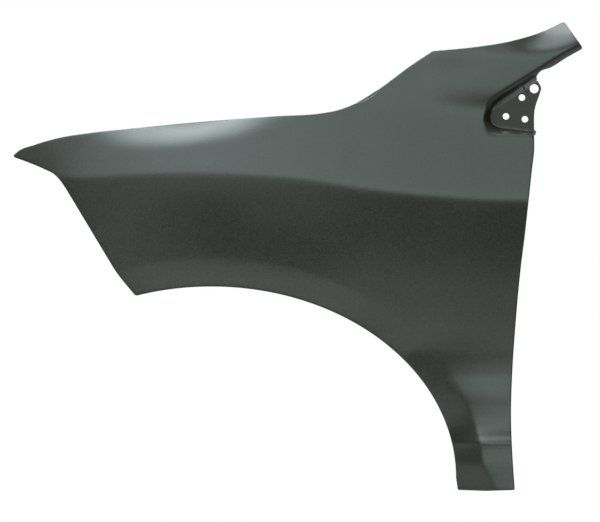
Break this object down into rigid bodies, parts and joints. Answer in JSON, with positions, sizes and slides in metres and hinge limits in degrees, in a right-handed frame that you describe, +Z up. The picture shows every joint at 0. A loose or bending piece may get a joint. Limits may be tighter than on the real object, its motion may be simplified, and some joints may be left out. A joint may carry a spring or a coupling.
{
  "type": "car front fender",
  "caption": "Left front fender of a car: pressed steel panel in black primer, with character line, wheel arch, pillar extension, sunk clip plate and folded returns.",
  "frame": {"origin": "seat on the underside of the hood flange, 10 mm behind the centre of its third bolt hole", "axes": "as on the car: +X towards the car's rear, +Y inboard, +Z up"},
  "size_m": [1.0233, 0.2261, 0.8436],
  "materials": {
    "primer": "satin black electro-coat primer on pressed steel"
  },
  "bodies": {
    "root": {"fender_panel": "primer"}
  },
  "joints": []
}
